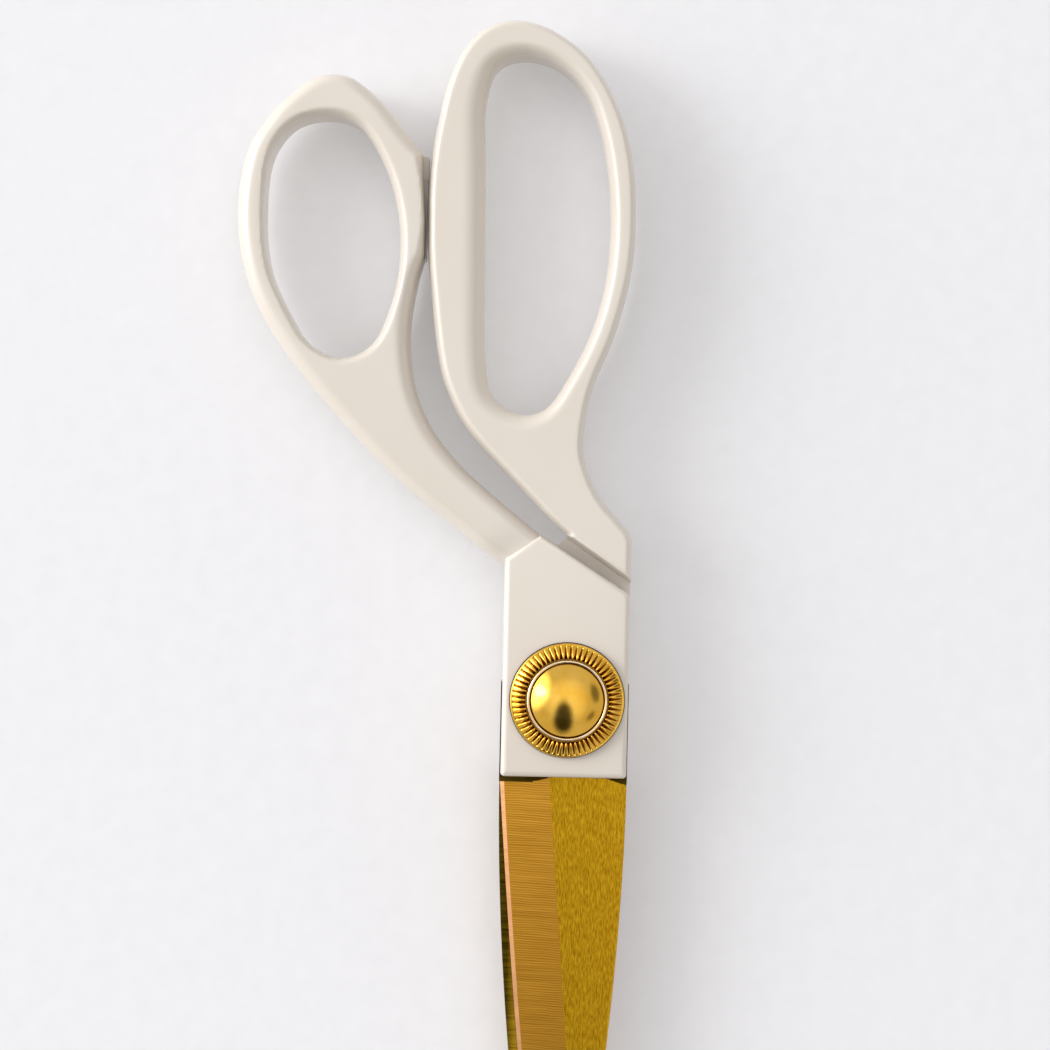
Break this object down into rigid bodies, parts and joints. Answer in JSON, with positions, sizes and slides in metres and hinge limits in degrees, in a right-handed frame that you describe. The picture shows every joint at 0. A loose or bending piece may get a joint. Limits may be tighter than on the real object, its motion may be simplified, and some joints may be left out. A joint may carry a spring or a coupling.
{
  "type": "fabric shears",
  "caption": "Right-handed bent-handle fabric shears with ground steel blades, painted cast handles and a domed pivot bolt, lying closed.",
  "frame": {"origin": "on the pivot axis, on the plane that the shears lie on: the centre of the pivot bolt's flat end", "axes": "+Y from the pivot towards the finger loops, +Z out of the domed bolt head and away from the table, +X to the right as seen from the bolt head's side"},
  "size_m": [0.0717, 0.2401, 0.0189],
  "materials": {
    "handle_cream": "smooth semi-gloss cream enamel over a casting",
    "blade_gold": "gold-coated steel, brushed lengthwise on the flat and ground crosswise on the facet",
    "pivot_gold": "polished gold plate",
    "nylon_black": "moulded, matt",
    "spring_steel": "bright, lightly oiled"
  },
  "bodies": {
    "finger_half": {"finger_blade": "blade_gold", "finger_handle": "handle_cream", "pivot_bolt": "pivot_gold", "fluted_washer": "pivot_gold", "head_thrust_washer": "nylon_black", "rear_thrust_washer": "nylon_black", "spring_washer": "spring_steel"},
    "thumb_half": {"thumb_blade": "blade_gold", "thumb_handle": "handle_cream"},
    "nut": {"tension_nut": "pivot_gold"}
  },
  "joints": [
    {"name": "pivot", "type": "hinge", "parent": "finger_half", "child": "thumb_half", "pos_m": [0, 0, 0.0082], "axis": [0, 0, 1], "range_deg": [0, 120]},
    {"name": "tension_nut_turn", "type": "hinge", "parent": "finger_half", "child": "nut", "pos_m": [0, 0, 0.001], "axis": [0, 0, 1], "range_deg": [-90, 90]}
  ]
}
